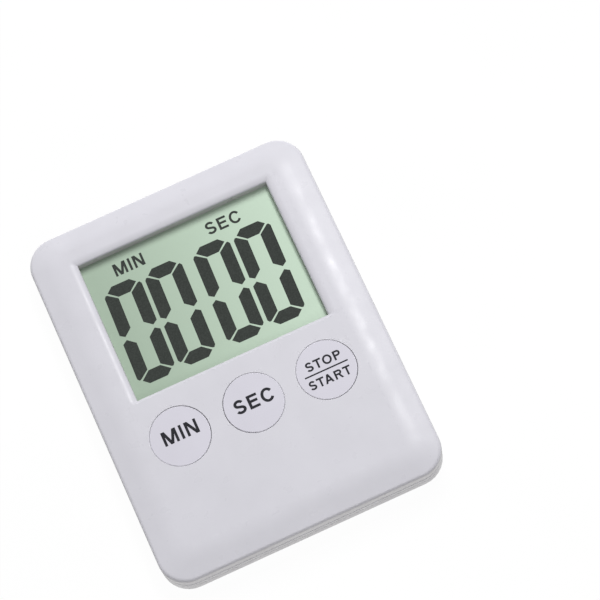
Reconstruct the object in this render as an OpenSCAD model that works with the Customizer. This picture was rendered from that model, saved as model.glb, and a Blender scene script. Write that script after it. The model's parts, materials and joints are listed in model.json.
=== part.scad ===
// Slim pocket countdown timer, lying on its back: display up (+Z), top of the display towards +Y.
// The origin is the middle of the flat back. Two screwed shells hold a segment display on a small
// circuit board, three sprung buttons, a disc buzzer and a button cell, with a fold-out stand behind.

/* [Body] */
// Width of the case
body_w = 68; // [68:0.5:71]
// Height of the case, in the display's up direction
body_h = 87.4; // [87.4:0.2:90]
// Thickness of the case at the flat middle of the face
body_t = 9; // [9:0.1:9.6]
// Corner radius of the outline
corner_r = 6.6; // [6.4:0.1:7]
// Height of the back shell's rim
rim_h = 4.6; // [4.4:0.1:4.7]
// Height of the fine groove around the rim
groove_z = 3.1; // [2.8:0.1:3.4]
// Fine groove between the two shells
reveal = 0.2; // [0.1:0.05:0.3]
// Thickness of the front shell's side walls
wall = 1.6; // [1.4:0.1:1.6]
// Thickness of the face
face_t = 1.5; // [1.3:0.1:1.5]
// Thickness of the back plate
plate_t = 1.2; // [1:0.05:1.2]
// How far the face falls away towards its edges
crown_drop = 0.9; // [0.4:0.1:1.1]
// Width of the band over which the face falls away
crown_w = 9; // [7:0.5:9]
// Radius of the edge between the face and the sides
edge_r = 0.9; // [0.7:0.1:1]
// Radius of the edge around the back
back_edge_r = 0.6; // [0.4:0.1:0.8]

/* [Display] */
// Width of the display opening
window_w = 47.1; // [44:0.1:47.1]
// Height of the display opening
window_h = 35.2; // [34:0.1:35.5]
// Height of the opening's middle above the middle of the case
window_y = 17; // [16.75:0.05:17]
// Depth of the display below the face
window_depth = 2.6; // [2:0.1:2.6]
// Width of the bevelled lip around the opening
window_lip = 1.2; // [0.6:0.1:1.3]

/* [Buttons] */
// Radius of a button
button_r = 6.9; // [6.5:0.1:7]
// Distance between the buttons
button_pitch = 17.9; // [17.6:0.1:18]
// Distance of the buttons below the middle of the case
button_drop = 12.5; // [12.5:0.1:12.9]
// Gap around a button
button_gap = 0.15; // [0.15:0.05:0.25]
// Travel of a button
button_travel = 0.5; // [0.3:0.1:0.5]

/* [Battery] */
// Radius of the button cell
cell_r = 5.8; // [5.7:0.1:5.8]
// Thickness of the button cell
cell_t = 4.2; // [4:0.1:4.2]
// Distance of the cell below the middle of the case
cell_drop = 31.7; // [31.5:0.1:31.8]
// Radius of the battery door
door_r = 7.5; // [7.3:0.1:7.6]

/* [Stand] */
// Width of the fold-out stand
stand_w = 33.4; // [30:0.2:34]
// Length of the stand from its hinge to its free end
stand_l = 35; // [30:0.5:36]
// Distance of the hinge below the middle of the case
hinge_drop = 13.2; // [12.8:0.1:13.4]
// Radius of the stand's hinge pins
hinge_pin_r = 0.7; // [0.6:0.05:0.7]

/* [Fasteners] */
// Radius of the screw threads
screw_r = 0.85; // [0.8:0.05:0.9]
// Radius of the magnets
magnet_r = 5; // [4:0.5:6]
// Thickness of the magnets
magnet_t = 1.5; // [1.2:0.1:1.6]

/* [Hidden] */

$fn = 64;
// Overlap that keeps joined solids and cuts from ending on a shared face
lap = 0.2;
hull_fn = 32;

// Levels, measured up from the flat back
front_z = rim_h + reveal;
groove_depth = 0.4;
face_in_z = body_t - face_t;
display_z = body_t - window_depth;

// Display stack, from the front: film, front glass, rear glass, reflector
film_t = 0.2;
glass_t = 0.6;
reflector_t = 0.25;
front_glass_z = display_z - film_t - glass_t;
rear_glass_z = front_glass_z - glass_t;
reflector_z = rear_glass_z - reflector_t;
glass_w = window_w + 3.5;
window_top = window_y + window_h / 2;
window_bottom = window_y - window_h / 2;
glass_top = window_top + 1.2;
front_glass_bottom = window_bottom - 3;
rear_glass_bottom = window_bottom - 0.8;

// Circuit board
board_t = 0.8;
board_z = 3.4;
board_top_z = board_z + board_t;
board_w = 60;
board_top = 37;
board_bottom = -21.5;
board_screw_x = 28.3;
board_screw_ys = [33, -18];

// Keypad and buttons
sheet_t = 0.6;
dome_r = 4.4;
dome_top_z = face_in_z - 1.2;
plunger_r = 2.6;
pill_r = 1.5;
pill_t = 0.2;
pill_z = board_top_z + button_travel + 0.1;
contact_t = 0.05;
flange_r = button_r + button_gap + 0.5;
flange_t = 0.5;
flange_gap = 0.1;
cap_skin = 1.1;
stem_r = 2;
key_tab_w = 2;
button_x = [-button_pitch, 0, button_pitch];

// Battery bay and its door
cell_y = -cell_drop;
door_z = 0.1;
door_t = 1;
cell_z = door_z + door_t + 0.55;
door_hole_r = door_r + 0.2;
lug_r = door_hole_r + 0.9;
lug_angle = 30;
lug_z = plate_t + 0.1;
lug_t = 0.7;
door_turn = 45;
bay_seat_z = lug_z + lug_t + 0.3;
bay_r = lug_r + 1.3;
bay_foot_z = bay_seat_z + 0.7;
bay_top_z = 5.4;
cell_gap = 0.2;

// Stand
recess_w = stand_w + 0.6;
recess_depth = 2.05;
recess_floor_t = 0.6;
recess_wall = 2;
hinge_y = -hinge_drop;
hinge_z = 1.05;
barrel_r = 0.9;
stand_z = 0.15;
stand_t = 1.5;
recess_bottom = hinge_y - 1.5;
recess_top = hinge_y + stand_l + 0.4;
scoop_r = 5;
hinge_pin_l = 1.4;
hinge_clearance = 0.06;

// Magnets, screws and buzzer
magnet_x = 24.6;
magnet_y = 28;
magnet_sink = 0.06;
screw_x = body_w / 2 - 4.7;
screw_y = body_h / 2 - 4.3;
case_boss_r = 2.2;
case_screw_tip_z = face_in_z - 1.3;
board_screw_tip_z = face_in_z - 1.1;
board_boss_r = 1.9;
buzzer_x = -20.5;
buzzer_y = -32;
buzzer_r = 7.5;
buzzer_z = plate_t + 0.5;
buzzer_plate_t = 0.2;
buzzer_ceramic_t = 0.15;
sound_hole_r = 0.6;

// Colours
shell_white = [0.87, 0.87, 0.9];
board_green = [0.1, 0.42, 0.25];
silicone_grey = [0.78, 0.78, 0.76];
steel = [0.72, 0.73, 0.75];
carbon_black = [0.1, 0.1, 0.11];

// ---- shared shapes ----

module rounded_rect(w, h, r) {
    square([w - 2 * r, h], center = true);
    square([w, h - 2 * r], center = true);
    for (x = [-1, 1], y = [-1, 1])
        translate([x * (w / 2 - r), y * (h / 2 - r)])
            circle(r);
}

// A thin slice of the case's outline, pulled in by inset, with its upper side at z
module outline_slice(inset, z) {
    slice_t = 0.02;
    translate([0, 0, z - slice_t])
        linear_extrude(slice_t)
            rounded_rect(body_w - 2 * inset, body_h - 2 * inset, max(corner_r - inset, 1.5), $fn = hull_fn);
}

// A block between two corners, each [x, y, z]
module block(low, high) {
    translate(low)
        cube(high - low);
}

module disc(r, low_z, high_z) {
    translate([0, 0, low_z])
        cylinder(r = r, h = high_z - low_z);
}

module at_case_screws() {
    for (x = [-1, 1], y = [-1, 1])
        translate([x * screw_x, y * screw_y])
            children();
}

module at_board_screws() {
    for (x = [-1, 1], y = board_screw_ys)
        translate([x * board_screw_x, y])
            children();
}

module at_button(index) {
    translate([button_x[index], -button_drop])
        children();
}

module at_buttons() {
    for (index = [0:2])
        at_button(index)
            children();
}

// ---- front shell ----

// Height of the face at a distance inset from its edge
function face_height(inset) =
    body_t - crown_drop * pow((crown_w - inset) / (crown_w - edge_r), 2);
// The edge's arc ends where it is as steep as the face that it meets
edge_end = atan((crown_w - edge_r) / (2 * crown_drop));
edge_z = face_height(edge_r) - edge_r;
crown_steps = 6;
edge_steps = 4;

module front_outer() {
    hull() {
        outline_slice(0, front_z + 0.02);
        for (step = [0:edge_steps]) {
            angle = edge_end * step / edge_steps;
            outline_slice(edge_r * (1 - cos(angle)), edge_z + edge_r * sin(angle));
        }
        for (step = [1:crown_steps]) {
            inset = edge_r + (crown_w - edge_r) * step / crown_steps;
            outline_slice(inset, face_height(inset));
        }
    }
}

module front_cavity() {
    translate([0, 0, front_z - lap])
        linear_extrude(face_in_z - front_z + lap)
            rounded_rect(body_w - 2 * wall, body_h - 2 * wall, corner_r - wall);
}

module front_ribs() {
    // Frame that the display rests against
    block([-glass_w / 2 - 0.2, window_bottom - 1.5, display_z],
          [glass_w / 2 + 0.2, glass_top + 0.3, face_in_z + lap]);
    at_case_screws()
        disc(case_boss_r, front_z + 0.1, face_in_z + lap);
    at_board_screws()
        disc(board_boss_r, board_top_z, face_in_z + lap);
    // Two ribs beside each button's key tab stop the button from turning
    at_buttons()
        for (side = [-1, 1])
            translate([side * (key_tab_w / 2 + 0.5), -flange_r - 0.9, 0])
                block([-0.3, -0.6, face_in_z - 1.3], [0.3, 0.6, face_in_z + lap]);
}

module window_cut() {
    translate([0, window_y, 0]) {
        translate([0, 0, display_z - lap])
            linear_extrude(window_depth + 2 * lap)
                square([window_w, window_h], center = true);
        hull() {
            translate([0, 0, body_t - window_lip])
                linear_extrude(0.01)
                    square([window_w, window_h], center = true);
            translate([0, 0, body_t])
                linear_extrude(0.01)
                    square([window_w + 2 * window_lip, window_h + 2 * window_lip], center = true);
        }
    }
}

module front_shell() {
    color(shell_white)
        difference() {
            union() {
                difference() {
                    front_outer();
                    front_cavity();
                }
                front_ribs();
            }
            window_cut();
            at_buttons()
                disc(button_r + button_gap, face_in_z - lap, body_t + lap);
            at_case_screws()
                disc(screw_r - 0.1, rim_h, case_screw_tip_z + 0.2);
            at_board_screws()
                disc(screw_r - 0.15, board_top_z - lap, board_screw_tip_z + 0.2);
        }
}

// ---- back shell ----

// A rounded lower part and a band above it, with a fine groove between them
module back_outer() {
    back_steps = 3;
    hull() {
        outline_slice(0, groove_z - reveal);
        for (step = [0:back_steps]) {
            angle = 90 * step / back_steps;
            outline_slice(back_edge_r * (1 - sin(angle)), 0.02 + back_edge_r * (1 - cos(angle)));
        }
    }
    translate([0, 0, plate_t])
        linear_extrude(rim_h - plate_t)
            rounded_rect(body_w - 2 * groove_depth, body_h - 2 * groove_depth, corner_r - groove_depth);
    translate([0, 0, groove_z])
        linear_extrude(rim_h - groove_z)
            rounded_rect(body_w, body_h, corner_r);
}

// A band that follows the case's outline, between two insets
module outline_band(outer, inner, low_z, high_z) {
    translate([0, 0, low_z])
        linear_extrude(high_z - low_z)
            difference() {
                rounded_rect(body_w - 2 * outer, body_h - 2 * outer, corner_r - outer);
                rounded_rect(body_w - 2 * inner, body_h - 2 * inner, corner_r - inner);
            }
}

// Tongue that centres the front shell, on a thicker part of the rim
module tongue() {
    clearance = 0.1;
    tongue_t = 0.8;
    outer = wall + clearance;
    outline_band(wall - lap, outer + tongue_t, plate_t - lap, rim_h);
    outline_band(outer, outer + tongue_t, rim_h - lap, rim_h + 1.2);
}

module stand_recess() {
    block([-recess_w / 2, recess_bottom, -lap], [recess_w / 2, recess_top, recess_depth]);
    // Finger scoop above the stand's free end
    translate([0, recess_top])
        disc(scoop_r, -lap, recess_depth);
    // Blind holes for the stand's hinge pins
    for (side = [-1, 1])
        translate([side * (recess_w / 2 - lap), hinge_y, hinge_z])
            rotate([0, side * 90, 0])
                cylinder(r = hinge_pin_r + hinge_clearance, h = hinge_pin_l + lap);
}

module door_cut() {
    translate([0, cell_y]) {
        disc(door_hole_r, -lap, lug_z);
        disc(lug_r + 0.3, plate_t, bay_seat_z);
        disc(cell_r + cell_gap, plate_t, bay_top_z + lap);
        // Notches that let the door's lugs in, a part turn from where they lock
        for (turn = [0, 180])
            rotate(turn - door_turn)
                lug_sector(lug_angle + 6, lug_r + 0.15, -lap, plate_t + lap);
    }
    // Slot for the contact that touches the cell's side
    block([cell_r - 1, cell_y - 2.6, bay_foot_z - 0.1], [bay_r + lap, cell_y + 2.6, bay_top_z + lap]);
}

// A wedge of a disc, centred on +X
module lug_sector(angle, r, low_z, high_z) {
    reach = r * 1.5;
    intersection() {
        disc(r, low_z, high_z);
        translate([0, 0, low_z])
            linear_extrude(high_z - low_z)
                polygon([[0, 0], reach * [cos(angle / 2), -sin(angle / 2)],
                         reach * [cos(angle / 2), sin(angle / 2)]]);
    }
}

module back_bosses() {
    // Walls and floor of the stand's recess
    block([-recess_w / 2 - recess_wall, recess_bottom - 1.2, plate_t - lap],
          [recess_w / 2 + recess_wall, recess_top + 1.2, recess_depth + recess_floor_t]);
    translate([0, recess_top])
        disc(scoop_r + 1.2, plate_t - lap, recess_depth + recess_floor_t);
    // Battery bay: a wide foot over the door's lugs and a narrower collar round the cell
    translate([0, cell_y]) {
        disc(bay_r, plate_t - lap, bay_foot_z);
        disc(cell_r + cell_gap + 1.2, bay_seat_z, bay_top_z);
    }
    for (side = [-1, 1])
        translate([side * magnet_x, magnet_y])
            disc(magnet_r + 1, plate_t - lap, magnet_t + magnet_sink + 0.8);
    at_case_screws()
        disc(case_boss_r + 0.4, plate_t - lap, front_z - 0.05);
    // Ring that the buzzer is glued to
    translate([buzzer_x, buzzer_y])
        difference() {
            disc(buzzer_r + 0.4, plate_t - lap, buzzer_z);
            disc(buzzer_r - 1, plate_t - 2 * lap, buzzer_z + lap);
        }
}

module sound_holes() {
    ring_r = 2.6;
    translate([buzzer_x, buzzer_y]) {
        disc(sound_hole_r, -lap, plate_t + lap);
        for (turn = [0:60:300])
            rotate(turn)
                translate([ring_r, 0])
                    disc(sound_hole_r, -lap, plate_t + lap);
    }
}

module back_shell() {
    color(shell_white)
        difference() {
            union() {
                difference() {
                    back_outer();
                    translate([0, 0, plate_t])
                        linear_extrude(rim_h)
                            rounded_rect(body_w - 2 * wall, body_h - 2 * wall, corner_r - wall);
                }
                difference() {
                    tongue();
                    at_case_screws()
                        disc(case_boss_r + 0.4, front_z - 0.05, rim_h + 2);
                }
                back_bosses();
            }
            stand_recess();
            door_cut();
            sound_holes();
            for (side = [-1, 1])
                translate([side * magnet_x, magnet_y])
                    disc(magnet_r + 0.1, -lap, magnet_t + magnet_sink);
            at_case_screws() {
                disc(1.9, -lap, plate_t);
                disc(screw_r + 0.15, 0, front_z);
            }
        }
}

// ---- display ----

module lcd_layer(bottom, side_gap, low_z, thickness) {
    block([-glass_w / 2 + side_gap, bottom, low_z],
          [glass_w / 2 - side_gap, glass_top - side_gap, low_z + thickness]);
}

module lcd_polariser() {
    color([0.74, 0.8, 0.73])
        lcd_layer(rear_glass_bottom + 0.2, 0.3, display_z - film_t, film_t);
}

module lcd_front_glass() {
    color([0.82, 0.88, 0.84, 0.6])
        lcd_layer(front_glass_bottom, 0, front_glass_z, glass_t);
}

module lcd_rear_glass() {
    color([0.8, 0.86, 0.82, 0.6])
        lcd_layer(rear_glass_bottom, 0, rear_glass_z, glass_t);
}

module lcd_reflector() {
    color([0.77, 0.84, 0.76])
        lcd_layer(rear_glass_bottom + 0.1, 0.2, reflector_z, reflector_t);
}

module lcd_holder() {
    rim = 0.9;
    seat = 1.8;
    slack = 0.1;
    top_z = front_glass_z + 0.1;
    low_z = board_top_z + 0.05;
    seat_z = reflector_z - 0.05;
    color([0.88, 0.88, 0.86])
        difference() {
            block([-glass_w / 2 - slack - rim, front_glass_bottom - slack - rim, low_z],
                  [glass_w / 2 + slack + rim, glass_top + slack + rim, top_z]);
            block([-glass_w / 2 - slack, front_glass_bottom - slack, seat_z],
                  [glass_w / 2 + slack, glass_top + slack, top_z + lap]);
            block([-glass_w / 2 + seat, rear_glass_bottom + seat, low_z - lap],
                  [glass_w / 2 - seat, glass_top - seat, seat_z + lap]);
            // Slot for the contact strip
            block([-glass_w / 2 + seat + 1, front_glass_bottom + 0.05, low_z - lap],
                  [glass_w / 2 - seat - 1, rear_glass_bottom - 0.15, seat_z + lap]);
        }
}

// Strip of conducting rubber from the board to the ledge of the front glass
module zebra_strip() {
    color([0.3, 0.3, 0.32])
        block([-glass_w / 2 + 3.2, front_glass_bottom + 0.2, board_top_z],
              [glass_w / 2 - 3.2, rear_glass_bottom - 0.3, front_glass_z]);
}

// ---- buttons and keypad ----

// A round cap with a retaining flange, a key tab and a stem that presses the dome
module button_cap() {
    top_round = 0.25;
    flange_top = face_in_z - flange_gap;
    flange_low = flange_top - flange_t;
    color(shell_white) {
        rotate_extrude()
            polygon([
                [0, dome_top_z],
                [stem_r, dome_top_z],
                [stem_r, body_t - cap_skin],
                [button_r - cap_skin, body_t - cap_skin],
                [button_r - cap_skin, flange_low],
                [flange_r, flange_low],
                [flange_r, flange_top],
                [button_r, flange_top],
                [button_r, body_t - top_round],
                [button_r - top_round, body_t],
                [0, body_t]
            ]);
        block([-key_tab_w / 2, -flange_r - 0.9, flange_low], [key_tab_w / 2, -flange_r + 0.5, flange_top]);
    }
}

module min_button() {
    at_button(0)
        button_cap();
}

module sec_button() {
    at_button(1)
        button_cap();
}

module start_stop_button() {
    at_button(2)
        button_cap();
}

module keypad_sheet() {
    sheet_w = 52;
    sheet_low = -button_drop - 7;
    sheet_high = -button_drop + 6.4;
    color(silicone_grey)
        difference() {
            block([-sheet_w / 2, sheet_low, board_top_z], [sheet_w / 2, sheet_high, board_top_z + sheet_t]);
            at_buttons()
                disc(dome_r, board_top_z - lap, board_top_z + sheet_t + lap);
        }
}

// Rubber dome: a thin sloping wall that buckles, with a plunger in its middle
module rubber_dome() {
    skirt = 0.6;
    shoulder_z = board_top_z + sheet_t + 0.8;
    ceiling_z = pill_z + pill_t;
    color(silicone_grey)
        rotate_extrude()
            polygon([
                [0, ceiling_z],
                [pill_r + 0.3, ceiling_z],
                [dome_r - skirt, board_top_z],
                [dome_r, board_top_z],
                [dome_r, board_top_z + sheet_t],
                [plunger_r, shoulder_z],
                [plunger_r, dome_top_z],
                [0, dome_top_z]
            ]);
}

module min_dome() {
    at_button(0)
        rubber_dome();
}

module sec_dome() {
    at_button(1)
        rubber_dome();
}

module start_stop_dome() {
    at_button(2)
        rubber_dome();
}

module contact_pill() {
    color(carbon_black)
        disc(pill_r, pill_z, pill_z + pill_t);
}

module min_pill() {
    at_button(0)
        contact_pill();
}

module sec_pill() {
    at_button(1)
        contact_pill();
}

module start_stop_pill() {
    at_button(2)
        contact_pill();
}

// ---- circuit board ----

module circuit_board() {
    color(board_green)
        difference() {
            block([-board_w / 2, board_bottom, board_z], [board_w / 2, board_top, board_top_z]);
            at_board_screws()
                disc(screw_r + 0.15, board_z - lap, board_top_z + lap);
            // Corners cut away round the case's bosses
            at_case_screws()
                disc(case_boss_r + 0.6, board_z - lap, board_top_z + lap);
        }
}

// Two half-moon pads under each dome
module key_contacts() {
    pad_r = 2.2;
    pad_gap = 0.3;
    color([0.75, 0.6, 0.25])
        at_buttons()
            difference() {
                disc(pad_r, board_top_z, board_top_z + contact_t);
                block([-pad_gap / 2, -pad_r - 1, board_top_z - lap],
                      [pad_gap / 2, pad_r + 1, board_top_z + contact_t + lap]);
            }
}

// Low epoxy dome over the bare chip, its section an arc that ends on the board
module chip_blob() {
    blob_r = 4.5;
    blob_h = 0.6;
    arc_steps = 6;
    arc = [
        for (step = [0:arc_steps])
            let (angle = 90 * step / arc_steps)
            [blob_r * sin(angle), board_z - blob_h * cos(angle)]
    ];
    color(carbon_black)
        translate([4, 8, 0])
            rotate_extrude()
                polygon(concat(arc, [[0, board_z]]));
}

module timing_crystal() {
    can_r = 1;
    can_l = 6;
    lead_r = 0.15;
    can_z = board_z - can_r - 0.05;
    color(steel)
        translate([24.5, 4, can_z]) {
            rotate([-90, 0, 0])
                cylinder(r = can_r, h = can_l);
            for (side = [-1, 1])
                translate([side * 0.4, 0, 0])
                    rotate([90, 0, 0])
                        cylinder(r = lead_r, h = 2.2);
        }
}

// Small chip parts soldered under the board, each at [x, y]
module chip_parts(places, height) {
    for (place = places)
        translate([place[0], place[1], 0])
            block([-0.8, -0.4, board_z - height], [0.8, 0.4, board_z]);
}

module resistors() {
    color([0.12, 0.12, 0.13])
        chip_parts([for (row = [0:4]) [-8, -2 + 2.4 * row]], 0.45);
}

module capacitors() {
    color([0.66, 0.55, 0.4])
        chip_parts([for (row = [0:3]) [21, -9 + 2.6 * row]], 0.8);
}

module buzzer_transistor() {
    color(carbon_black)
        translate([-24, 3, 0]) {
            block([-1.45, -0.65, board_z - 1], [1.45, 0.65, board_z - 0.1]);
            for (leg = [[-0.95, -1], [0.95, -1], [0, 1]])
                translate([leg[0], leg[1] * 0.85, 0])
                    block([-0.2, -0.35, board_z - 0.3], [0.2, 0.35, board_z]);
        }
}

// Drum coil that lifts the cell's voltage for the buzzer
module buzzer_coil() {
    color([0.25, 0.25, 0.27])
        translate([-24, -6, 0])
            rotate_extrude()
                polygon([
                    [0, board_z - 1.8], [1.8, board_z - 1.8], [1.8, board_z - 1.4], [1.4, board_z - 1.4],
                    [1.4, board_z - 0.4], [1.8, board_z - 0.4], [1.8, board_z], [0, board_z]
                ]);
}

// ---- buzzer ----

module buzzer_plate() {
    color([0.83, 0.68, 0.33])
        translate([buzzer_x, buzzer_y])
            disc(buzzer_r, buzzer_z, buzzer_z + buzzer_plate_t);
}

module buzzer_ceramic() {
    low_z = buzzer_z + buzzer_plate_t;
    color([0.85, 0.84, 0.78])
        translate([buzzer_x, buzzer_y])
            disc(buzzer_r - 2.1, low_z, low_z + buzzer_ceramic_t);
}

// A round tube of radius r along a list of points that never runs straight up
module wire(points, r, sides = 8) {
    last = len(points) - 1;
    function direction(i) =
        let (step = points[min(i + 1, last)] - points[max(i - 1, 0)]) step / norm(step);
    rings = [
        for (i = [0:last])
            let (
                forward = direction(i),
                across = cross(forward, [0, 0, 1]),
                side = across / norm(across),
                up = cross(side, forward)
            )
            for (k = [0:sides - 1])
                points[i] + r * (cos(360 * k / sides) * side + sin(360 * k / sides) * up)
    ];
    walls = [
        for (i = [0:last - 1], k = [0:sides - 1])
            let (next = (k + 1) % sides)
            [i * sides + k, i * sides + next, (i + 1) * sides + next, (i + 1) * sides + k]
    ];
    near_end = [for (k = [sides - 1:-1:0]) k];
    far_end = [for (k = [0:sides - 1]) last * sides + k];
    polyhedron(rings, concat([near_end], walls, [far_end]));
}

// One lead to the brass plate's rim and one to the ceramic
module buzzer_wires() {
    wire_r = 0.3;
    on_plate_z = buzzer_z + buzzer_plate_t + wire_r;
    on_ceramic_z = on_plate_z + buzzer_ceramic_t;
    under_board_z = board_z - wire_r;
    color([0.75, 0.12, 0.1])
        wire([
            [-19, -29.5, on_ceramic_z], [-17.5, -27.5, on_ceramic_z + 0.1], [-16, -25, 2.7],
            [-15, -22.6, 3], [-14, -20.5, under_board_z], [-14, -19, under_board_z]
        ], wire_r);
    color(carbon_black)
        wire([
            [-14.2, -30, on_plate_z], [-13, -28.5, on_plate_z + 0.1], [-12, -26, 2.7],
            [-11.6, -23, 3], [-11.5, -20.8, under_board_z], [-11.5, -19.2, under_board_z]
        ], wire_r);
}

// ---- battery ----

module battery_cell() {
    crimp = 0.4;
    cap_r = cell_r - 0.9;
    color(steel)
        translate([0, cell_y])
            rotate_extrude()
                polygon([
                    [0, cell_z], [cell_r - 0.3, cell_z], [cell_r, cell_z + 0.3],
                    [cell_r, cell_z + cell_t - crimp - 0.2], [cell_r - 0.2, cell_z + cell_t - crimp],
                    [cap_r, cell_z + cell_t - crimp], [cap_r - 0.2, cell_z + cell_t], [0, cell_z + cell_t]
                ]);
}

contact_sheet_t = 0.25;

// Leaf spring from the board over the cell's cap
module battery_negative_contact() {
    half_w = 2;
    leaf_z = cell_z + cell_t + 0.2;
    riser_y = board_bottom - 2.2;
    color(steel) {
        block([-half_w, riser_y, board_z - contact_sheet_t], [half_w, board_bottom + 3, board_z]);
        block([-half_w, riser_y, board_z - contact_sheet_t],
              [half_w, riser_y + contact_sheet_t, leaf_z + contact_sheet_t]);
        block([-half_w, cell_y - 2, leaf_z], [half_w, riser_y + contact_sheet_t, leaf_z + contact_sheet_t]);
        translate([0, cell_y])
            disc(1.2, cell_z + cell_t, leaf_z + 0.1);
    }
}

// Blade that touches the cell's side and runs back to the board
module battery_positive_contact() {
    low_z = bay_foot_z + 0.1;
    high_z = bay_top_z - 0.6;
    arm_x = bay_r + 0.5;
    color(steel) {
        block([cell_r, cell_y - 2, low_z], [cell_r + contact_sheet_t, cell_y + 2, high_z]);
        block([cell_r, cell_y + 2 - contact_sheet_t, low_z], [arm_x, cell_y + 2, high_z]);
        block([arm_x - contact_sheet_t, cell_y + 2 - contact_sheet_t, low_z],
              [arm_x, board_bottom - 0.4, high_z]);
        block([arm_x - contact_sheet_t, cell_y + 2, board_z - 2 * contact_sheet_t],
              [arm_x, board_bottom + 2.5, board_z - contact_sheet_t]);
        block([arm_x - 2, board_bottom + 0.5, board_z - 2 * contact_sheet_t],
              [arm_x, board_bottom + 2.5, board_z]);
    }
}

module battery_door() {
    slot_l = 11;
    slot_w = 1.5;
    slot_depth = 0.55;
    ring_r = door_r - 0.5;
    ring_t = 0.6;
    door_top = door_z + door_t;
    color(shell_white)
        translate([0, cell_y])
            difference() {
                union() {
                    disc(door_r, door_z, door_top);
                    disc(ring_r, door_z + lap, lug_z + lug_t);
                    for (turn = [0, 180])
                        rotate(turn)
                            lug_sector(lug_angle, lug_r, lug_z, lug_z + lug_t);
                }
                disc(ring_r - ring_t, cell_z - 0.05, lug_z + lug_t + lap);
                // Coin slot
                block([-slot_l / 2, -slot_w / 2, door_z - lap], [slot_l / 2, slot_w / 2, door_z + slot_depth]);
            }
}

// ---- stand ----

module stand() {
    half_w = stand_w / 2;
    groove_count = 4;
    color(shell_white)
        difference() {
            union() {
                block([-half_w, hinge_y, stand_z], [half_w, hinge_y + stand_l, stand_z + stand_t]);
                translate([-half_w, hinge_y, hinge_z])
                    rotate([0, 90, 0])
                        cylinder(r = barrel_r, h = stand_w);
                translate([-half_w - hinge_pin_l + 0.1, hinge_y, hinge_z])
                    rotate([0, 90, 0])
                        cylinder(r = hinge_pin_r, h = stand_w + 2 * hinge_pin_l - 0.2);
            }
            // Grip grooves near the free end
            for (groove = [1:groove_count])
                translate([0, hinge_y + stand_l - 1.5 * groove, 0])
                    block([-8, -0.3, stand_z - lap], [8, 0.3, stand_z + 0.3]);
        }
}

// ---- magnets and screws ----

module magnets() {
    color([0.35, 0.35, 0.37])
        for (side = [-1, 1])
            translate([side * magnet_x, magnet_y])
                disc(magnet_r, magnet_sink, magnet_sink + magnet_t);
}

// A pan-head screw that points up, with a cross recess in its head
module screw(head_r, head_z, shank_z, tip_z) {
    recess_l = head_r * 1.1;
    recess_w = 0.35;
    recess_h = (shank_z - head_z) / 2;
    difference() {
        union() {
            disc(head_r, head_z, shank_z);
            disc(screw_r, head_z + recess_h, tip_z);
        }
        for (turn = [0, 90])
            rotate(turn)
                block([-recess_l / 2, -recess_w / 2, head_z - lap],
                      [recess_l / 2, recess_w / 2, head_z + recess_h]);
    }
}

module board_screws() {
    color(steel)
        at_board_screws()
            screw(1.5, board_z - 0.9, board_z, board_screw_tip_z);
}

module case_screws() {
    color(steel)
        at_case_screws()
            screw(1.6, 0.3, plate_t, case_screw_tip_z);
}

front_shell();
back_shell();
lcd_polariser();
lcd_front_glass();
lcd_rear_glass();
lcd_reflector();
lcd_holder();
zebra_strip();
min_button();
sec_button();
start_stop_button();
keypad_sheet();
min_dome();
sec_dome();
start_stop_dome();
min_pill();
sec_pill();
start_stop_pill();
circuit_board();
key_contacts();
chip_blob();
timing_crystal();
resistors();
capacitors();
buzzer_transistor();
buzzer_coil();
buzzer_plate();
buzzer_ceramic();
buzzer_wires();
battery_cell();
battery_negative_contact();
battery_positive_contact();
battery_door();
stand();
magnets();
board_screws();
case_screws();
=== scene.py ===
import json
import math

import bmesh
import bpy
from mathutils import Matrix, Vector
from mathutils.geometry import delaunay_2d_cdt


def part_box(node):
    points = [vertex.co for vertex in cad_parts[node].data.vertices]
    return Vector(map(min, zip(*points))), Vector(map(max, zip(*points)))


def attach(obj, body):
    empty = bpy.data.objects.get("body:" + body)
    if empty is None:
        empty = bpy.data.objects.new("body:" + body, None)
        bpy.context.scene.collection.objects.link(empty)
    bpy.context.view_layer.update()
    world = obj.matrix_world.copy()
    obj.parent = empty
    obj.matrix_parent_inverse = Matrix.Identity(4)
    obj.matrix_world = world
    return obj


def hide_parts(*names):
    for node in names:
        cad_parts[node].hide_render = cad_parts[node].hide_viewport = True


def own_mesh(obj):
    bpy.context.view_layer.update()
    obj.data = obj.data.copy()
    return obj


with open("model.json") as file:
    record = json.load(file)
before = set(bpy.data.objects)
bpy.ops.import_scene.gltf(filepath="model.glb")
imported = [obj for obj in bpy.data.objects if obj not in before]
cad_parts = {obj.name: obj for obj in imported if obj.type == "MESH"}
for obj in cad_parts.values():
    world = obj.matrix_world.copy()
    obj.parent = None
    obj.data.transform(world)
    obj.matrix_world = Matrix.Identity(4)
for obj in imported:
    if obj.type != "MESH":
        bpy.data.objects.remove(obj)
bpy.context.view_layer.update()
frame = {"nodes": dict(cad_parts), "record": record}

# The slim countdown timer lies on its back: +Z out of its display, +Y towards the display's top.
# Sizes are in millimetres until mm() turns them into Blender's metres.

SCENE = bpy.context.scene


def mm(*values):
    """Millimetres as metres: one number, or a tuple of them."""
    metres = tuple(value * 0.001 for value in values)
    return metres if len(metres) > 1 else metres[0]


def box_mm(node):
    """A CAD node's lowest and highest corners, in millimetres."""
    low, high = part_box(node)
    return Vector(low) * 1000, Vector(high) * 1000


def middle_mm(node):
    low, high = box_mm(node)
    return (low + high) / 2


# ---- where things are, from the frame ----

FRONT_LOW, FRONT_HIGH = box_mm("front_shell")
BACK_HIGH = box_mm("back_shell")[1]
FILM_LOW, FILM_HIGH = box_mm("lcd_polariser")
CASE_W = FRONT_HIGH.x - FRONT_LOW.x
CASE_H = FRONT_HIGH.y - FRONT_LOW.y
FACE_Z = FRONT_HIGH.z
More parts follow.
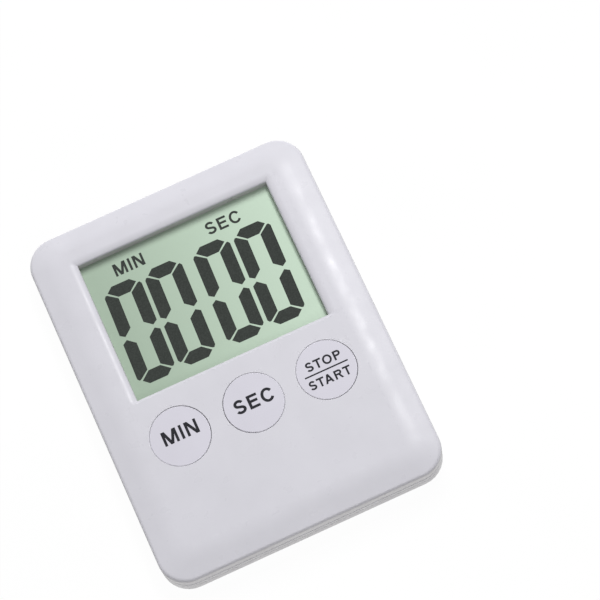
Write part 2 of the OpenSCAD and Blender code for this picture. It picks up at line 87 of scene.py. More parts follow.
# The back shell's tongue reaches this far above the lower edge of the front shell's sides
TONGUE_H = 1.0
SEAM_Z = BACK_HIGH.z - TONGUE_H

# The display opening lies inside the film by these margins
SIDE_MARGIN = 1.5
BOTTOM_MARGIN = 0.5
TOP_MARGIN = 1.0
OPENING_LEFT = FILM_LOW.x + SIDE_MARGIN
OPENING_RIGHT = FILM_HIGH.x - SIDE_MARGIN
OPENING_BOTTOM = FILM_LOW.y + BOTTOM_MARGIN
OPENING_TOP = FILM_HIGH.y - TOP_MARGIN
OPENING_W = OPENING_RIGHT - OPENING_LEFT
OPENING_H = OPENING_TOP - OPENING_BOTTOM
OPENING_X = (OPENING_LEFT + OPENING_RIGHT) / 2
OPENING_Y = (OPENING_BOTTOM + OPENING_TOP) / 2

KEYS = ("min", "sec", "start_stop")
KEY_PLACES = {key: middle_mm(f"{key}_dome").xy for key in KEYS}


# ---- camera, light and floor ----

def add_camera():
    """A long lens 0.61 m away, above the lower edge's side, with the timer rolled to the left."""
    tilt, turn, roll = math.radians(18.4), math.radians(3.0), math.radians(25.25)
    timer_from_lens = mm(-14.6, -14.9, -614.2)
    view = (
        Matrix.Translation(timer_from_lens)
        @ Matrix.Rotation(roll, 4, "Z")
        @ Matrix.Rotation(-tilt, 4, "X")
        @ Matrix.Rotation(turn, 4, "Y")
    )
    data = bpy.data.cameras.new("photo_camera")
    data.sensor_width = 36
    data.lens = 162
    camera = bpy.data.objects.new("photo_camera", data)
    camera.matrix_world = view.inverted()
    SCENE.collection.objects.link(camera)
    SCENE.camera = camera


def add_area_light(name, place, size, watts, shows_in_gloss=True):
    """A round lamp that points at the timer. place and size are in metres."""
    data = bpy.data.lights.new(name, "AREA")
    data.shape = "DISK"
    data.size = size
    data.energy = watts
    light = bpy.data.objects.new(name, data)
    light.location = place
    light.rotation_euler = (-Vector(place)).to_track_quat("-Z", "Y").to_euler()
    light.visible_glossy = shows_in_gloss
    SCENE.collection.objects.link(light)


def add_lights():
    """A key lamp, a small lamp for the highlight on the right side, and a fill from below the picture."""
    SCENE.view_settings.view_transform = "Standard"
    world = bpy.data.worlds.new("studio")
    world.use_nodes = True
    background = world.node_tree.nodes["Background"]
    background.inputs["Color"].default_value = (1.0, 1.0, 1.0, 1)
    background.inputs["Strength"].default_value = 0.16
    SCENE.world = world
    add_area_light("key", (0.22, 0.64, 0.84), size=0.5, watts=9.3, shows_in_gloss=False)
    add_area_light("right_lamp", (0.34, 0.32, 0.92), size=0.14, watts=1.9)
    add_area_light("lower_fill", (0.05, -0.64, 0.8), size=0.6, watts=1.9)


def add_floor():
    half_width = 1.5
    bm = bmesh.new()
    bmesh.ops.create_grid(bm, x_segments=1, y_segments=1, size=half_width)
    floor = mesh_object("floor", bm)
    floor.data.materials.append(MATERIALS["floor"])


# ---- mesh helpers ----

def mesh_object(name, bm):
    mesh = bpy.data.meshes.new(name)
    bm.to_mesh(mesh)
    bm.free()
    piece = bpy.data.objects.new(name, mesh)
    SCENE.collection.objects.link(piece)
    return piece


def finish_hard_surface(piece, sharp_degrees=38):
    """Smooth shading with crisp corners, and flat faces that stay flat beside rounded edges."""
    mesh = piece.data
    mesh.shade_smooth()
    mesh.set_sharp_from_angle(angle=math.radians(sharp_degrees))
    weighted = piece.modifiers.new("even_normals", "WEIGHTED_NORMAL")
    weighted.keep_sharp = True
    weighted.weight = 80


def rounded_outline(width, height, radius, centre=(0, 0), steps=16):
    """Points round a rectangle with rounded corners, anticlockwise from its right side."""
    points = []
    for turn, (side_x, side_y) in enumerate(((1, 1), (-1, 1), (-1, -1), (1, -1))):
        corner_x = centre[0] + side_x * (width / 2 - radius)
        corner_y = centre[1] + side_y * (height / 2 - radius)
        for step in range(steps + 1):
            angle = math.pi / 2 * (turn + step / steps)
            points.append((corner_x + radius * math.cos(angle), corner_y + radius * math.sin(angle)))
    return points


def circle_outline(radius, centre, count=96):
    return [
        (centre[0] + radius * math.cos(2 * math.pi * k / count),
         centre[1] + radius * math.sin(2 * math.pi * k / count))
        for k in range(count)
    ]


def add_loop(bm, points, z):
    """A ring of vertices at height z, in millimetres."""
    return [bm.verts.new(mm(x, y, z)) for x, y in points]


def bridge(bm, first, second):
    """Quads between two rings with the same number of vertices."""
    for k in range(len(first)):
        after = (k + 1) % len(first)
        bm.faces.new((first[k], first[after], second[after], second[k]))


def add_walls(bm, rings):
    """Joins rings, each (points, z), one after the other. Returns the first and the last."""
    loops = [add_loop(bm, points, z) for points, z in rings]
    for first, second in zip(loops, loops[1:]):
        bridge(bm, first, second)
    return loops[0], loops[-1]


def fill(bm, loops):
    """A flat face inside the first ring, with the others as its holes."""
    edges = []
    for loop in loops:
        for k in range(len(loop)):
            pair = (loop[k], loop[(k + 1) % len(loop)])
            edges.append(bm.edges.get(pair) or bm.edges.new(pair))
    bmesh.ops.triangle_fill(bm, use_beauty=True, use_dissolve=False, edges=edges)


def arc(start, end, steps):
    """Angles from start to end, in radians, both ends included."""
    return [math.radians(start + (end - start) * step / steps) for step in range(steps + 1)]


def add_revolved(bm, profile, centre, count=96):
    """A closed solid turned about a vertical line, from [radius, z] points that start and end on it."""
    low_tip = bm.verts.new(mm(centre[0], centre[1], profile[0][1]))
    high_tip = bm.verts.new(mm(centre[0], centre[1], profile[-1][1]))
    rings = [(circle_outline(radius, centre, count), z) for radius, z in profile[1:-1]]
    first, last = add_walls(bm, rings)
    for k in range(count):
        after = (k + 1) % count
        bm.faces.new((low_tip, first[after], first[k]))
        bm.faces.new((high_tip, last[k], last[after]))


# ---- materials ----

def srgb(red, green, blue):
    """A colour given in 0 to 255 display values, as the linear values that shaders take."""
    linear = []
    for value in (red, green, blue):
        share = value / 255
        linear.append(share / 12.92 if share <= 0.04045 else ((share + 0.055) / 1.055) ** 2.4)
    return (*linear, 1)


def scaled(colour, factor):
    return tuple(min(channel * factor, 1) for channel in colour[:3]) + (1,)


class Surface:
    """A Principled material whose colour, roughness and bump come from noise in the object's own space."""

    def __init__(self, name, roughness=0.4, metallic=0.0, **sockets):
        self.material = bpy.data.materials.new(name)
        self.material.use_nodes = True
        self.tree = self.material.node_tree
        self.shader = self.tree.nodes["Principled BSDF"]
        self.shader.inputs["Roughness"].default_value = roughness
        self.shader.inputs["Metallic"].default_value = metallic
        for socket, value in sockets.items():
            self.shader.inputs[socket.replace("_", " ").title().replace("Ior", "IOR")].default_value = value
        self.place = self.node("ShaderNodeTexCoord").outputs["Object"]
        self.height = None

    def node(self, kind, **values):
        made = self.tree.nodes.new(kind)
        for key, value in values.items():
            setattr(made, key, value)
        return made

    def link(self, output, socket):
        self.tree.links.new(output, socket)

    def noise(self, size_mm, detail=3.0, stretch=(1, 1, 1)):
        """Noise with features about size_mm across, longer where stretch is above 1."""
        mapping = self.node("ShaderNodeMapping")
        mapping.inputs["Scale"].default_value = [1000 / (size_mm * share) for share in stretch]
        self.link(self.place, mapping.inputs["Vector"])
        texture = self.node("ShaderNodeTexNoise")
        texture.inputs["Scale"].default_value = 1.0
        texture.inputs["Detail"].default_value = detail
        self.link(mapping.outputs["Vector"], texture.inputs["Vector"])
        return texture.outputs["Fac"]

    def ramp(self, value, low, high, low_colour, high_colour):
        """Colour that goes from one to the other as value goes from low to high."""
        ramp = self.node("ShaderNodeValToRGB")
        ramp.color_ramp.elements[0].position = low
        ramp.color_ramp.elements[0].color = low_colour
        ramp.color_ramp.elements[1].position = high
        ramp.color_ramp.elements[1].color = high_colour
        self.link(value, ramp.inputs["Fac"])
        return ramp.outputs["Color"]

    def colour(self, low_colour, high_colour, size_mm, low=0.35, high=0.65, stretch=(1, 1, 1)):
        mottled = self.ramp(self.noise(size_mm, stretch=stretch), low, high, low_colour, high_colour)
        self.link(mottled, self.shader.inputs["Base Color"])
        return self

    def multiply_colour(self, factor):
        """Multiplies the base colour that is linked so far by another colour."""
        blend = self.node("ShaderNodeMix", data_type="RGBA", blend_type="MULTIPLY")
        blend.inputs[0].default_value = 1.0
        self.link(self.shader.inputs["Base Color"].links[0].from_socket, blend.inputs[6])
        self.link(factor, blend.inputs[7])
        self.link(blend.outputs[2], self.shader.inputs["Base Color"])

    def shade_sides(self, shade):
        """Darkens surfaces that stand upright. It makes up for the glowing floor, which lights them
        more strongly than the photo's table does; the real plastic needn't differ there."""
        split = self.node("ShaderNodeSeparateXYZ")
        self.link(self.node("ShaderNodeTexCoord").outputs["Normal"], split.inputs["Vector"])
        upness = self.node("ShaderNodeMath", operation="ABSOLUTE")
        self.link(split.outputs["Z"], upness.inputs[0])
        self.multiply_colour(self.ramp(upness.outputs[0], 0.2, 0.6, shade, (1.0, 1.0, 1.0, 1)))

    def vary_roughness(self, low, high, size_mm, stretch=(1, 1, 1)):
        spread = self.node("ShaderNodeMapRange")
        spread.inputs["From Min"].default_value = 0.3
        spread.inputs["From Max"].default_value = 0.7
        spread.inputs["To Min"].default_value = low
        spread.inputs["To Max"].default_value = high
        self.link(self.noise(size_mm, stretch=stretch), spread.inputs["Value"])
        self.link(spread.outputs["Result"], self.shader.inputs["Roughness"])
        return self

    def bump(self, depth_mm, size_mm, stretch=(1, 1, 1)):
        bump = self.node("ShaderNodeBump")
        bump.inputs["Strength"].default_value = 1.0
        bump.inputs["Distance"].default_value = mm(depth_mm)
        self.link(self.noise(size_mm, detail=2.0, stretch=stretch), bump.inputs["Height"])
        if self.height:
            self.link(self.height, bump.inputs["Normal"])
        self.height = bump.outputs["Normal"]
        self.link(self.height, self.shader.inputs["Normal"])
        return self


def plastic(name, colour, roughness=0.36, grain_mm=0.003, side_shade=None):
    """Satin moulded plastic: faint cloudiness, a fine mould texture and slightly uneven gloss."""
    surface = Surface(name, roughness, specular_ior_level=0.45)
    surface.colour(scaled(colour, 0.985), scaled(colour, 1.015), 9)
    if side_shade:
        surface.shade_sides(side_shade)
    surface.vary_roughness(roughness - 0.05, roughness + 0.06, 4)
    surface.bump(grain_mm, 0.22)
    surface.bump(0.01, 14)
    return surface.material


def rubber(name, colour):
    surface = Surface(name, 0.62, specular_ior_level=0.35)
    surface.colour(scaled(colour, 0.9), scaled(colour, 1.08), 1.5)
    surface.vary_roughness(0.55, 0.72, 0.8)
    surface.bump(0.004, 0.12)
    return surface.material


def metal(name, colour, roughness=0.3, stretch=(1, 1, 1), grain_mm=0.002):
    """Plated or brushed metal: fine lines where stretch is uneven, and duller scuffed patches."""
    surface = Surface(name, roughness, 1.0)
    surface.colour(scaled(colour, 0.86), colour, 0.9, stretch=stretch)
    surface.vary_roughness(roughness - 0.08, roughness + 0.16, 0.6, stretch)
    surface.bump(grain_mm, 0.08, stretch)
    return surface.material


def ceramic(name, colour):
    surface = Surface(name, 0.45)
    surface.colour(scaled(colour, 0.85), scaled(colour, 1.1), 0.5)
    surface.vary_roughness(0.35, 0.55, 0.4)
    surface.bump(0.003, 0.1)
    return surface.material


def ink(name, colour, roughness=0.5, gloss=0.3):
    """Printed ink: a thin matt film, a little uneven in density."""
    surface = Surface(name, roughness, specular_ior_level=gloss)
    surface.colour(scaled(colour, 0.85), scaled(colour, 1.15), 0.35)
    surface.vary_roughness(roughness - 0.08, roughness + 0.1, 0.3)
    surface.bump(0.001, 0.1)
    return surface.material


def display_film():
    """Anti-glare film over a pale green reflector, painted a little yellower and lighter to the right:
    painted light from the lamps on that side.
    """
    surface = Surface("lcd_film", 0.42, specular_ior_level=0.4)
    split = surface.node("ShaderNodeSeparateXYZ")
    surface.link(surface.place, split.inputs["Vector"])
    across = surface.node("ShaderNodeMapRange")
    across.inputs["From Min"].default_value = mm(OPENING_LEFT)
    across.inputs["From Max"].default_value = mm(OPENING_RIGHT)
    surface.link(split.outputs["X"], across.inputs["Value"])
    # Painted light: the colour brightens from left to right in place of the lamps' light from the right, not
    # a change in the film itself.
    painted_light_ramp = surface.ramp(across.outputs["Result"], 0.0, 1.0, srgb(161, 179, 161), srgb(195, 215, 196))
    cloud = surface.ramp(surface.noise(0.12), 0.3, 0.7, (0.96, 0.96, 0.96, 1), (1.0, 1.0, 1.0, 1))
    surface.link(painted_light_ramp, surface.shader.inputs["Base Color"])
    surface.multiply_colour(cloud)
    surface.vary_roughness(0.38, 0.48, 0.3)
    surface.bump(0.0012, 0.07)
    return surface.material


def glass(name, colour):
    surface = Surface(name, 0.05, alpha=0.35, ior=1.5)
    surface.colour(scaled(colour, 0.97), colour, 6)
    surface.bump(0.0005, 4)
    return surface.material


def striped_rubber():
    """Conducting rubber: dark and pale layers, alternating along X."""
    surface = Surface("contact_rubber", 0.6)
    wave = surface.node("ShaderNodeTexWave")
    wave.inputs["Scale"].default_value = 1500
    wave.inputs["Distortion"].default_value = 0.4
    surface.link(surface.place, wave.inputs["Vector"])
    stripes = surface.ramp(wave.outputs["Fac"], 0.45, 0.55, srgb(34, 34, 38), srgb(196, 190, 180))
    surface.link(stripes, surface.shader.inputs["Base Color"])
    surface.bump(0.003, 0.1)
    return surface.material


def board_mask():
    """Green solder mask with darker and lighter areas where copper runs below it."""
    surface = Surface("board_laminate", 0.35, coat_weight=0.4)
    cells = surface.node("ShaderNodeTexVoronoi", feature="DISTANCE_TO_EDGE", distance="MANHATTAN")
    cells.inputs["Scale"].default_value = 260
    surface.link(surface.place, cells.inputs["Vector"])
    tracks = surface.ramp(cells.outputs["Distance"], 0.05, 0.09, srgb(52, 138, 82), srgb(20, 92, 52))
    surface.link(tracks, surface.shader.inputs["Base Color"])
    surface.bump(0.004, 0.5)
    return surface.material


def floor_surface():
    """A white light table: it glows, so the timer's shadow on it is faint."""
    surface = Surface("floor", 0.7, specular_ior_level=0.2)
    surface.colour(srgb(44, 44, 44), srgb(50, 50, 50), 60)
    surface.shader.inputs["Emission Color"].default_value = (1, 1, 1, 1)
    surface.shader.inputs["Emission Strength"].default_value = 0.965
    surface.bump(0.01, 1.5)
    return surface.material


CASE_WHITE = srgb(211, 210, 217)

MATERIALS = {
    "case_white": plastic("case_white", CASE_WHITE, 0.31, side_shade=(0.83, 0.82, 0.78, 1)),
    "button_white": plastic("button_white", srgb(210, 208, 218), 0.4),
    "lcd_film": display_film(),
    "lcd_segment": ink("lcd_segment", srgb(58, 62, 59), 0.62, 0.15),
    "legend_ink": ink("legend_ink", srgb(38, 38, 44)),
    "lcd_glass": glass("lcd_glass", srgb(214, 228, 218)),
    "lcd_mirror": metal("lcd_mirror", srgb(200, 212, 200), 0.4),
    "inner_white": plastic("inner_white", srgb(226, 226, 220), 0.45),
    "contact_rubber": striped_rubber(),
    "silicone": rubber("silicone", srgb(204, 204, 198)),
    "carbon_rubber": rubber("carbon_rubber", srgb(34, 34, 36)),
    "board_laminate": board_mask(),
    "contact_gold": metal("contact_gold", srgb(214, 176, 92), 0.28),
    "black_epoxy": plastic("black_epoxy", srgb(26, 26, 28), 0.25, 0.006),
    "crystal_can": metal("crystal_can", srgb(200, 201, 204), 0.26, (1, 12, 1)),
    "resistor_black": ceramic("resistor_black", srgb(40, 40, 43)),
    "capacitor_tan": ceramic("capacitor_tan", srgb(176, 146, 108)),
    "coil_ferrite": ceramic("coil_ferrite", srgb(70, 70, 73)),
    "buzzer_brass": metal("buzzer_brass", srgb(214, 178, 96), 0.3, (10, 1, 1)),
    "buzzer_white": ceramic("buzzer_white", srgb(222, 220, 206)),
    "wire_insulation": plastic("wire_insulation", srgb(170, 40, 34), 0.35, 0.004),
    "cell_steel": metal("cell_steel", srgb(204, 205, 207), 0.22, (1, 1, 14)),
    "contact_steel": metal("contact_steel", srgb(206, 206, 206), 0.2),
    "magnet_nickel": metal("magnet_nickel", srgb(176, 176, 178), 0.3, (1, 1, 1), 0.004),
    "screw_steel": metal("screw_steel", srgb(168, 168, 172), 0.3),
    "floor": floor_surface(),
}


def dress_cad_nodes():
    """Gives each CAD node the material of its slot."""
    for part in frame["record"]["subparts"]:
        node = frame["nodes"][part["node"]]
        node.data.materials.clear()
        node.data.materials.append(MATERIALS[part["material_slot"]])


def add_piece(name, bm, body, slot, material=None):
    """A finished mesh that moves with a body and takes a slot's material."""
    bmesh.ops.recalc_face_normals(bm, faces=bm.faces)
    piece = mesh_object(name, bm)
    piece.data.materials.append(MATERIALS[material or slot])
    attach(piece, body)
    return piece


# ---- front shell ----

CORNER_R = 6.6
CORNER_SHRINK = 0.55
WALL = 1.6
FACE_T = 1.5
# The face is flat up to BEND_START from its edge, then bends until BEND_END, then slopes evenly
BEND_START = 7.2
BEND_END = 3.4
FACE_SLOPE = 0.2
CROWN_TOP_SHARE = 0.75
EDGE_R = 0.95
SEAM_R = 0.15
LIP_LEFT_W = 1.95
LIP_RIGHT_W = 2.0
LIP_TOP_W = 1.9
LIP_BOTTOM_W = 0.8
LIP_DROP = 0.95
LIP_CORNER_R = 1.2
OPENING_CORNER_R = 0.12
# The frame that the display rests against is larger than the opening by this much
REST_EXTRA_W = 4
REST_EXTRA_H = 3.2
REST_CORNER_R = 0.3
# A finer gap round the buttons than the CAD's, to match the thin dark rings in the photo
BUTTON_R = 6.93
HOLE_R = 7.0
HOLE_EDGE_R = 0.1
BOARD_SCREW_HEAD_R = 1.5
BOARD_BOSS_R = 1.9
CASE_SCREW_HEAD_R = 1.6
CASE_BOSS_R = 2.2
CASE_BOSS_GAP = 0.1
BOSS_SINK = 0.1


def case_outline(inset):
    """The case's outline, pulled in by inset, and by a little less along its upper side."""
    upper = inset * CROWN_TOP_SHARE
    centre = (0, (inset - upper) / 2)
    corner_r = CORNER_R - CORNER_SHRINK * inset
    return rounded_outline(CASE_W - 2 * inset, CASE_H - inset - upper, corner_r, centre)


def face_height(inset):
    if inset > BEND_END:
        return FACE_Z - FACE_SLOPE * (BEND_START - inset) ** 2 / (2 * (BEND_START - BEND_END))
    return FACE_Z - FACE_SLOPE * ((BEND_START + BEND_END) / 2 - inset)


def outer_rings():
    """The front shell's outside, from the seam up the sides, over the edge and across the crown."""
    rings = [
        (case_outline(SEAM_R * (1 - math.sin(a))), SEAM_Z + SEAM_R * (1 - math.cos(a)))
        for a in arc(0, 90, 3)
    ]
    # The edge's arc ends where it is as steep as the face that it meets
    steepest = 90 - math.degrees(math.atan(FACE_SLOPE))
    arc_end = EDGE_R * (1 - math.cos(math.radians(steepest)))
    edge_z = face_height(arc_end) - EDGE_R * math.sin(math.radians(steepest))
    rings += [
        (case_outline(EDGE_R * (1 - math.cos(a))), edge_z + EDGE_R * math.sin(a))
        for a in arc(0, steepest, 10)
    ]
    slope_steps, bend_steps = 4, 12
    insets = [arc_end + (BEND_END - arc_end) * step / slope_steps for step in range(1, slope_steps + 1)]
    insets += [BEND_END + (BEND_START - BEND_END) * step / bend_steps for step in range(1, bend_steps + 1)]
    return rings + [(case_outline(inset), face_height(inset)) for inset in insets]


def opening_rings():
    """The display opening: a rounded lip, narrower below, then straight walls down to the display."""
    def outline(share):
        left, right, top, bottom = (
            share * width for width in (LIP_LEFT_W, LIP_RIGHT_W, LIP_TOP_W, LIP_BOTTOM_W)
        )
        corner = max(LIP_CORNER_R * share, OPENING_CORNER_R)
        centre = (OPENING_X + (right - left) / 2, OPENING_Y + (top - bottom) / 2)
        return rounded_outline(OPENING_W + left + right, OPENING_H + top + bottom, corner, centre, 6)
    lip = [(outline(1 - math.sin(a)), FACE_Z - LIP_DROP * (1 - math.cos(a))) for a in arc(0, 90, 10)]
    return lip + [(outline(0), FILM_HIGH.z)]


def add_bosses(bm, screws, head_r, boss_r, low_z, high_z):
    """A post over each of a node's four screws. Its top is sunk a little into the face."""
    low, high = box_mm(screws)
    top_z = high_z + BOSS_SINK
    for x in (low.x + head_r, high.x - head_r):
        for y in (low.y + head_r, high.y - head_r):
            profile = [(0, low_z), (boss_r, low_z), (boss_r, top_z), (0, top_z)]
            add_revolved(bm, profile, (x, y), 32)


def add_front_shell():
    """One closed shell: outside, display opening, button holes and inside."""
    bm = bmesh.new()
    inner_z = FACE_Z - FACE_T
    seam, crown = add_walls(bm, outer_rings())
    lip, opening_low = add_walls(bm, opening_rings())
    button_tops, button_lows = [], []
    for place in KEY_PLACES.values():
        edge = [
            (circle_outline(HOLE_R + HOLE_EDGE_R * (1 - math.sin(a)), place),
             FACE_Z - HOLE_EDGE_R * (1 - math.cos(a)))
            for a in arc(0, 90, 3)
        ]
        top, low = add_walls(bm, edge + [(circle_outline(HOLE_R, place), inner_z)])
        button_tops.append(top)
        button_lows.append(low)
    fill(bm, [crown, lip, *button_tops])
    # Frame round the opening, on the inside, that the display rests against
    rest_outline = rounded_outline(
        OPENING_W + REST_EXTRA_W, OPENING_H + REST_EXTRA_H, REST_CORNER_R, (OPENING_X, OPENING_Y), 6
    )
    rest_low, rest_high = add_walls(bm, [(rest_outline, FILM_HIGH.z), (rest_outline, inner_z)])
    fill(bm, [rest_low, opening_low])
    inside = rounded_outline(CASE_W - 2 * WALL, CASE_H - 2 * WALL, CORNER_R - WALL)
    inside_high, inside_low = add_walls(bm, [(inside, inner_z), (inside, SEAM_Z)])
    fill(bm, [inside_high, rest_high, *button_lows])
    bridge(bm, inside_low, seam)
    add_bosses(bm, "board_screws", BOARD_SCREW_HEAD_R, BOARD_BOSS_R, FRONT_LOW.z, inner_z)
    add_bosses(bm, "case_screws", CASE_SCREW_HEAD_R, CASE_BOSS_R, SEAM_Z + CASE_BOSS_GAP, inner_z)
    piece = add_piece("front_shell_skin", bm, "case", "case_white")
    finish_hard_surface(piece)
    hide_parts("front_shell")


# ---- buttons and their words ----

BUTTON_TOP = FACE_Z - 0.03
BUTTON_RIM_R = 0.15
BUTTON_WALL = 1.1
STEM_R = 2
FLANGE_DEPTH = 1.6
FLANGE_T = 0.5
# No button sits quite in the middle of its hole
BUTTON_SHIFT = {"min": (-0.055, -0.01), "sec": (0.05, 0.03), "start_stop": (-0.03, 0.035)}


def add_button(key):
    """A round cap with a soft rim, its retaining flange and the stem under it."""
    low, high = box_mm(f"{key}_button")
    flange_high = FACE_Z - FLANGE_DEPTH
    flange_low = flange_high - FLANGE_T
    flange_r = (high.x - low.x) / 2
    skin_z = BUTTON_TOP - BUTTON_WALL
    hollow_r = BUTTON_R - BUTTON_WALL
    profile = [
        (0, low.z), (STEM_R, low.z), (STEM_R, skin_z), (hollow_r, skin_z), (hollow_r, flange_low),
        (flange_r, flange_low), (flange_r, flange_high), (BUTTON_R, flange_high),
    ]
    profile += [
        (BUTTON_R - BUTTON_RIM_R * (1 - math.cos(a)), BUTTON_TOP - BUTTON_RIM_R * (1 - math.sin(a)))
        for a in arc(0, 90, 6)
    ]
    profile.append((0, BUTTON_TOP))
    bm = bmesh.new()
    shift_x, shift_y = BUTTON_SHIFT[key]
    place_x, place_y = KEY_PLACES[key]
    add_revolved(bm, profile, (place_x + shift_x, place_y + shift_y))
    piece = add_piece(f"{key}_button_cap", bm, f"{key}_key", "button_white")
    finish_hard_surface(piece)
    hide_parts(f"{key}_button")


# Plain capitals with strokes of even width, each drawn in a box 1 high. The strokes stay under a
# fifth of the height: above that the two bowls of the S run into each other.

def bar(low_x, high_x, stroke, low_y=0, high_y=1):
    """A stroke from low_y to high_y, cut level at both ends."""
    half = stroke / 2
    return [(low_x - half, low_y), (low_x + half, low_y), (high_x + half, high_y), (high_x - half, high_y)]


def beam(left, right, y, stroke):
    half = stroke / 2
    return [(left, y - half), (right, y - half), (right, y + half), (left, y + half)]


def oval(x, y, radius_x, radius_y, start, end):
    return [(x + radius_x * math.cos(a), y + radius_y * math.sin(a)) for a in arc(start, end, 24)]


def ribbon(points, stroke):
    """Four-sided pieces of even width along a line of points."""
    sides = []
    last = len(points) - 1
    for k, point in enumerate(points):
        before, after = Vector(points[max(k - 1, 0)]), Vector(points[min(k + 1, last)])
        across = (after - before).normalized().orthogonal() * stroke / 2
        middle = Vector(point)
        sides.append((tuple(middle + across), tuple(middle - across)))
    return [[*first, second[1], second[0]] for first, second in zip(sides, sides[1:])]


def capitals(stroke):
    """The letters that the timer needs, as {letter: (width, outlines)}."""
    half = stroke / 2
    bowl = (1 + stroke) / 4 - half
    p_bowl, r_bowl = 0.31 - half, 0.29 - half
    return {
        "A": (0.9, [bar(0.55 * stroke, 0.45, 1.1 * stroke), bar(0.9 - 0.55 * stroke, 0.45, 1.1 * stroke),
                    beam(0.2, 0.7, 0.3, stroke)]),
        "C": (0.83, ribbon(oval(0.43, 0.5, 0.43 - half, 0.515 - half, 32, 328), stroke)),
        "E": (0.7, [bar(half, half, stroke), beam(0, 0.7, 1 - half, stroke), beam(0, 0.65, 0.53, stroke),
                    beam(0, 0.7, half, stroke)]),
        "I": (stroke, [bar(half, half, stroke)]),
        "M": (1.0, [bar(half, half, stroke), bar(1 - half, 1 - half, stroke),
                    bar(0.5, 0.78 * stroke, 1.15 * stroke), bar(0.5, 1 - 0.78 * stroke, 1.15 * stroke)]),
        "N": (0.81, [bar(half, half, stroke), bar(0.81 - half, 0.81 - half, stroke),
                     bar(0.81 - 0.7 * stroke, 0.7 * stroke, 1.25 * stroke)]),
        "O": (0.95, ribbon(oval(0.475, 0.5, 0.475 - half, 0.515 - half, 0, 360), stroke)),
        "P": (0.73, [bar(half, half, stroke)] + ribbon(
            [(half, 1 - half)] + oval(0.73 - half - p_bowl, 1 - half - p_bowl, p_bowl, p_bowl, 90, -90)
            + [(half, 1 - half - 2 * p_bowl)], stroke)),
        "R": (0.85, [bar(half, half, stroke), bar(0.85 - 0.6 * stroke, 0.45, 1.1 * stroke, 0, 0.5)] + ribbon(
            [(half, 1 - half)] + oval(0.78 - half - r_bowl, 1 - half - r_bowl, r_bowl, r_bowl, 90, -90)
            + [(half, 1 - half - 2 * r_bowl)], stroke)),
        "S": (0.74, ribbon(
            oval(0.36, 1.01 - half - bowl, 0.34 - half, bowl, 18, 235)
            + oval(0.38, half + bowl - 0.01, 0.36 - half, bowl, 55, -160), stroke)),
        "T": (0.8, [beam(0, 0.8, 1 - half, stroke), bar(0.4, 0.4, stroke)]),
    }


def letter_gap(first, second):
    """The space between two letters: less beside the open arms of a T."""
    if "T" in (first, second):
        return 0.0 if "A" in (first, second) else 0.11
    return 0.2


def word_letters(text, size, centre, stroke):
    """Each letter's strokes, with the word centred and stretched a little to its width."""
    width, height = size
    glyphs = capitals(stroke / height)
    starts = []
    pen = 0.0
    for k, letter in enumerate(text):
        if k:
            pen += letter_gap(text[k - 1], letter)
        starts.append(pen)
        pen += glyphs[letter][0]

    def place(start, point):
        return centre[0] + ((start + point[0]) / pen - 0.5) * width, centre[1] + (point[1] - 0.5) * height

    return [
        [[place(start, point) for point in outline] for outline in glyphs[letter][1]]
        for start, letter in zip(starts, text)
    ]


def anticlockwise(outline):
    following = outline[1:] + outline[:1]
    twice_area = sum(x0 * y1 - x1 * y0 for (x0, y0), (x1, y1) in zip(outline, following))
    return outline if twice_area > 0 else outline[::-1]


def add_flat_shape(bm, outlines, top_z, thickness):
    """A thin flat solid that covers all the outlines, which may overlap."""
    outlines = [anticlockwise(outline) for outline in outlines]
    points = [Vector(point) for outline in outlines for point in outline]
    corners, count = [], 0
    for outline in outlines:
        corners.append(list(range(count, count + len(outline))))
        count += len(outline)
    made = delaunay_2d_cdt(points, [], corners, 0, 1e-5)
    vertices = [bm.verts.new(mm(point.x, point.y, top_z)) for point in made[0]]
    faces = [
        bm.faces.new([vertices[k] for k in triangle])
        for triangle, covered_by in zip(made[2], made[5]) if covered_by
    ]
    grown = bmesh.ops.extrude_face_region(bm, geom=faces, use_keep_orig=True)["geom"]
    lower = [item for item in grown if isinstance(item, bmesh.types.BMVert)]
    bmesh.ops.translate(bm, verts=lower, vec=(0, 0, -mm(thickness)))
    bmesh.ops.delete(bm, geom=[v for v in bm.verts if not v.link_faces], context="VERTS")


PRINT_T = 0.02
# How far the print stands above what it is printed on
LEGEND_RISE = 0.008
SEGMENT_RISE = 0.012


def add_word(name, text, size, centre, stroke, top_z, body, slot, material):
    """A printed word whose upper face is at top_z. size is its width and height."""
    bm = bmesh.new()
    for outlines in word_letters(text, size, centre, stroke):
        add_flat_shape(bm, outlines, top_z, PRINT_T)
    return add_piece(name, bm, body, slot, material)


def add_legends():
    """The words on the buttons: what each button sets or does."""
    top = BUTTON_TOP + LEGEND_RISE
    min_x, min_y = KEY_PLACES["min"]
    sec_x, sec_y = KEY_PLACES["sec"]
    go_x, go_y = KEY_PLACES["start_stop"]
    add_word("min_legend", "MIN", (8.4, 3.4), (min_x + 0.25, min_y + 0.72), 0.61, top,
             "min_key", "button_white", "legend_ink")
    add_word("sec_legend", "SEC", (9.4, 3.3), (sec_x + 0.2, sec_y + 0.38), 0.63, top,
             "sec_key", "button_white", "legend_ink")
    add_word("stop_legend", "STOP", (8.45, 2.2), (go_x + 0.05, go_y + 2.18), 0.43, top,
             "start_stop_key", "button_white", "legend_ink")
    add_word("start_legend", "START", (10.1, 2.15), (go_x - 0.1, go_y - 2.1), 0.42, top,
             "start_stop_key", "button_white", "legend_ink")
    bm = bmesh.new()
    add_flat_shape(bm, [beam(go_x - 5.3, go_x + 5.2, go_y + 0.1, 0.34)], top, PRINT_T)
    add_piece("stop_start_bar", bm, "start_stop_key", "button_white", "legend_ink")


DOME_R = 4.4
DOME_TOP_R = 2.6
DOME_FOOT_T = 0.6
DOME_BEVEL = 0.15


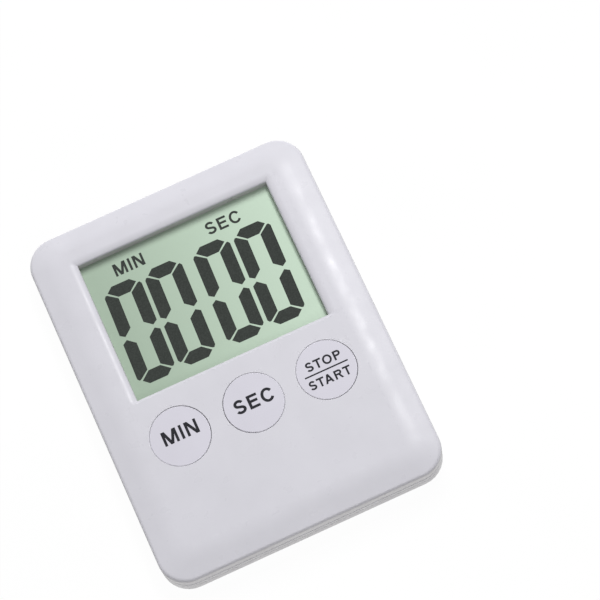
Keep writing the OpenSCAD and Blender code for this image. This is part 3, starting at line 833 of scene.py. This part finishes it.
def add_dome(key):
    """A rubber dome under a button, fixed to the case; it does not flatten as the button goes down."""
    low, high = box_mm(f"{key}_dome")
    foot_z = low.z + DOME_FOOT_T
    ceiling_z = box_mm(f"{key}_pill")[1].z
    underside = [(0, ceiling_z), (1.8, ceiling_z), (3.8, low.z), (DOME_R, low.z)]
    web = [(DOME_R, foot_z), (4.1, foot_z + 0.12), (2.8, foot_z + 0.72), (DOME_TOP_R, foot_z + 0.95)]
    head = [(DOME_TOP_R, high.z - DOME_BEVEL), (DOME_TOP_R - DOME_BEVEL, high.z), (0, high.z)]
    place = KEY_PLACES[key]
    bm = bmesh.new()
    add_revolved(bm, underside + web + head, place, 64)
    piece = add_piece(f"{key}_dome_skin", bm, "case", "silicone")
    finish_hard_surface(piece)
    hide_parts(f"{key}_dome")
    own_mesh(piece)


# ---- display ----

DIGIT_W = 9.2
DIGIT_MIDDLE_Y = 14.55
UPPER_HALF_H = 12.85
LOWER_HALF_H = 12.05
SEGMENT_T = 3.0
DIGIT_SLANT = 0.033
DIGIT_CENTRES = (-16.7, -6.6, 5.4, 15.55)
LABEL_Y = 30.58


def half_digit(height):
    """The three dark segments above a zero's middle, about that middle."""
    outer_x = DIGIT_W / 2
    inner_x = outer_x - SEGMENT_T
    across = [
        (-2.2, height), (2.2, height), (3.55, height - 1.2),
        (1.45, height - 2.95), (-1.45, height - 2.95), (-3.55, height - 1.2),
    ]
    right = [
        (3.45, 0.4), (outer_x, 1.15), (outer_x, height - 2.1), (4.2, height - 1.55), (3.8, height - 1.6),
        (inner_x, height - 3.25), (inner_x, 1.95),
    ]
    left = [(-x, y) for x, y in right]
    return [across, right, left]


def add_digits():
    """Four zeros. Their middle segments are off, so they don't show."""
    top = FILM_HIGH.z + SEGMENT_RISE
    upper = half_digit(UPPER_HALF_H)
    lower = [[(x, -y) for x, y in outline] for outline in half_digit(LOWER_HALF_H)]
    bm = bmesh.new()
    for centre_x in DIGIT_CENTRES:
        for outline in upper + lower:
            points = [(centre_x + x + DIGIT_SLANT * y, DIGIT_MIDDLE_Y + y) for x, y in outline]
            add_flat_shape(bm, [points], top, PRINT_T)
    add_piece("lcd_digits", bm, "case", "lcd_film", "lcd_segment")
    add_word("lcd_min_label", "MIN", (7.3, 3.05), (-12.75, LABEL_Y), 0.56, top,
             "case", "lcd_film", "lcd_segment")
    add_word("lcd_sec_label", "SEC", (8.5, 3.0), (10.85, LABEL_Y), 0.54, top,
             "case", "lcd_film", "lcd_segment")


# ---- put together ----

add_camera()
add_lights()
add_floor()
dress_cad_nodes()
add_front_shell()
for key in KEYS:
    add_button(key)
    add_dome(key)
add_legends()
add_digits()
for name in ("back_shell", "stand", "battery_door", "case_screws", "magnets"):
    finish_hard_surface(frame["nodes"][name], sharp_degrees=30)
